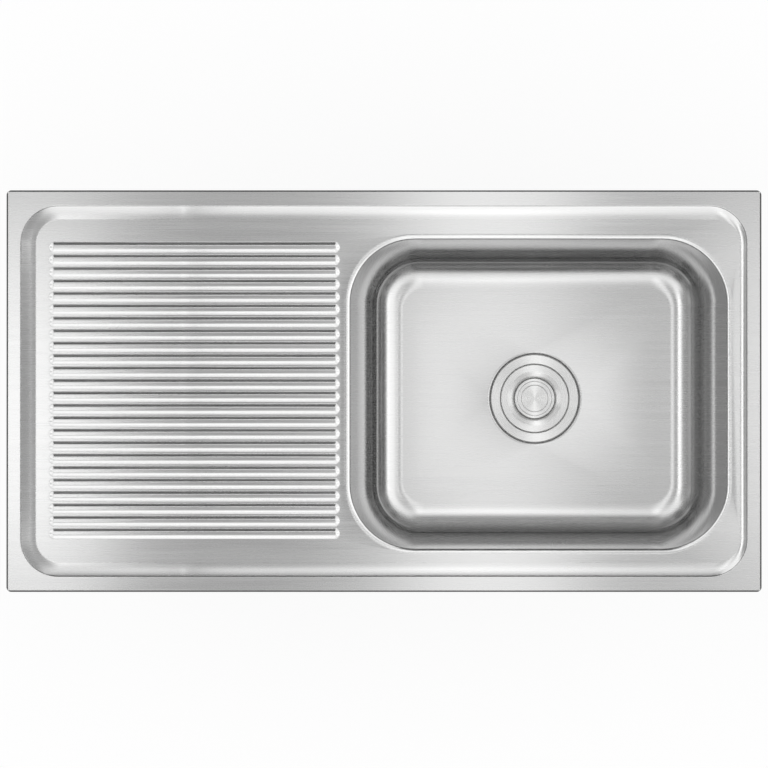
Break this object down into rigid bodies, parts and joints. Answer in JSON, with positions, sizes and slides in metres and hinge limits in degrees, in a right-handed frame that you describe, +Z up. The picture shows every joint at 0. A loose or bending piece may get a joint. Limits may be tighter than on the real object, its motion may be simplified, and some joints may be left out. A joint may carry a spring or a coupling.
{
  "type": "kitchen sink with drainboard",
  "caption": "Inset steel kitchen sink with a ribbed drainboard, one deep bowl, a lift-out basket strainer waste with a stopper, and swing-out clips that hold it in a worktop.",
  "frame": {"origin": "middle of the rim in plan, on the worktop's upper face, where the rim seal rests", "axes": "+X from the drainboard to the bowl, +Y to the back, +Z up out of the worktop"},
  "size_m": [0.94, 0.5, 0.2849],
  "materials": {
    "satin_steel": "fine brushed stainless steel, satin",
    "turned_steel": "stainless steel with a circular brushed finish",
    "mill_steel": "plain rolled stainless steel",
    "zinc_steel": "bright zinc plated steel",
    "black_rubber": "matt black rubber",
    "grey_foam": "closed cell foam strip",
    "bitumen_pad": "grey sound deadening sheet",
    "black_plastic": "moulded black plastic",
    "white_plastic": "moulded white plastic"
  },
  "bodies": {
    "sink": {"drainer_top": "satin_steel", "bowl": "satin_steel", "rim_seal": "grey_foam", "stiffener_left": "mill_steel", "stiffener_right": "mill_steel", "sound_pad_left": "bitumen_pad", "sound_pad_right": "bitumen_pad", "clip_studs": "zinc_steel", "flange_gasket": "black_rubber", "strainer_body": "turned_steel", "bowl_gasket": "black_rubber", "friction_ring": "white_plastic", "backnut": "black_plastic", "outlet_tail": "mill_steel", "outlet_cross": "mill_steel", "post_catch": "zinc_steel"},
    "basket": {"basket_cup": "turned_steel"},
    "stopper": {"basket_post": "mill_steel", "knob_cap": "turned_steel", "knob_boss": "black_plastic", "stopper_seal": "black_rubber", "stopper_plate": "mill_steel", "post_nut": "zinc_steel"},
    "nut_back_left": {"clip_nut_back_left": "zinc_steel"},
    "claw_back_left": {"clip_claw_back_left": "zinc_steel"},
    "nut_back_middle": {"clip_nut_back_middle": "zinc_steel"},
    "claw_back_middle": {"clip_claw_back_middle": "zinc_steel"},
    "nut_back_right": {"clip_nut_back_right": "zinc_steel"},
    "claw_back_right": {"clip_claw_back_right": "zinc_steel"},
    "nut_front_left": {"clip_nut_front_left": "zinc_steel"},
    "claw_front_left": {"clip_claw_front_left": "zinc_steel"},
    "nut_front_middle": {"clip_nut_front_middle": "zinc_steel"},
    "claw_front_middle": {"clip_claw_front_middle": "zinc_steel"},
    "nut_front_right": {"clip_nut_front_right": "zinc_steel"},
    "claw_front_right": {"clip_claw_front_right": "zinc_steel"},
    "nut_left": {"clip_nut_left": "zinc_steel"},
    "claw_left": {"clip_claw_left": "zinc_steel"},
    "nut_right": {"clip_nut_right": "zinc_steel"},
    "claw_right": {"clip_claw_right": "zinc_steel"}
  },
  "joints": [
    {"name": "basket_lift", "type": "slide", "parent": "sink", "child": "basket", "axis": [0, 0, 1], "range_m": [0, 0.28]},
    {"name": "stopper_travel", "type": "slide", "parent": "basket", "child": "stopper", "axis": [0, 0, 1], "range_m": [0, 0.008]},
    {"name": "clip_back_left_tighten", "type": "slide", "parent": "sink", "child": "nut_back_left", "axis": [0, 0, 1], "range_m": [0, 0.021]},
    {"name": "clip_back_left_swing", "type": "hinge", "parent": "nut_back_left", "child": "claw_back_left", "pos_m": [-0.34, 0.2085, -0.05], "axis": [0, 0, 1], "range_deg": [0, 90]},
    {"name": "clip_back_middle_tighten", "type": "slide", "parent": "sink", "child": "nut_back_middle", "axis": [0, 0, 1], "range_m": [0, 0.021]},
    {"name": "clip_back_middle_swing", "type": "hinge", "parent": "nut_back_middle", "child": "claw_back_middle", "pos_m": [-0.02, 0.2085, -0.05], "axis": [0, 0, 1], "range_deg": [0, 90]},
    {"name": "clip_back_right_tighten", "type": "slide", "parent": "sink", "child": "nut_back_right", "axis": [0, 0, 1], "range_m": [0, 0.021]},
    {"name": "clip_back_right_swing", "type": "hinge", "parent": "nut_back_right", "child": "claw_back_right", "pos_m": [0.3, 0.2085, -0.05], "axis": [0, 0, 1], "range_deg": [0, 90]},
    {"name": "clip_front_left_tighten", "type": "slide", "parent": "sink", "child": "nut_front_left", "axis": [0, 0, 1], "range_m": [0, 0.021]},
    {"name": "clip_front_left_swing", "type": "hinge", "parent": "nut_front_left", "child": "claw_front_left", "pos_m": [-0.34, -0.2085, -0.05], "axis": [0, 0, 1], "range_deg": [0, 90]},
    {"name": "clip_front_middle_tighten", "type": "slide", "parent": "sink", "child": "nut_front_middle", "axis": [0, 0, 1], "range_m": [0, 0.021]},
    {"name": "clip_front_middle_swing", "type": "hinge", "parent": "nut_front_middle", "child": "claw_front_middle", "pos_m": [-0.02, -0.2085, -0.05], "axis": [0, 0, 1], "range_deg": [0, 90]},
    {"name": "clip_front_right_tighten", "type": "slide", "parent": "sink", "child": "nut_front_right", "axis": [0, 0, 1], "range_m": [0, 0.021]},
    {"name": "clip_front_right_swing", "type": "hinge", "parent": "nut_front_right", "child": "claw_front_right", "pos_m": [0.3, -0.2085, -0.05], "axis": [0, 0, 1], "range_deg": [0, 90]},
    {"name": "clip_left_tighten", "type": "slide", "parent": "sink", "child": "nut_left", "axis": [0, 0, 1], "range_m": [0, 0.021]},
    {"name": "clip_left_swing", "type": "hinge", "parent": "nut_left", "child": "claw_left", "pos_m": [-0.426, 0, -0.05], "axis": [0, 0, 1], "range_deg": [0, 90]},
    {"name": "clip_right_tighten", "type": "slide", "parent": "sink", "child": "nut_right", "axis": [0, 0, 1], "range_m": [0, 0.021]},
    {"name": "clip_right_swing", "type": "hinge", "parent": "nut_right", "child": "claw_right", "pos_m": [0.437, 0, -0.05], "axis": [0, 0, 1], "range_deg": [0, 90]}
  ]
}
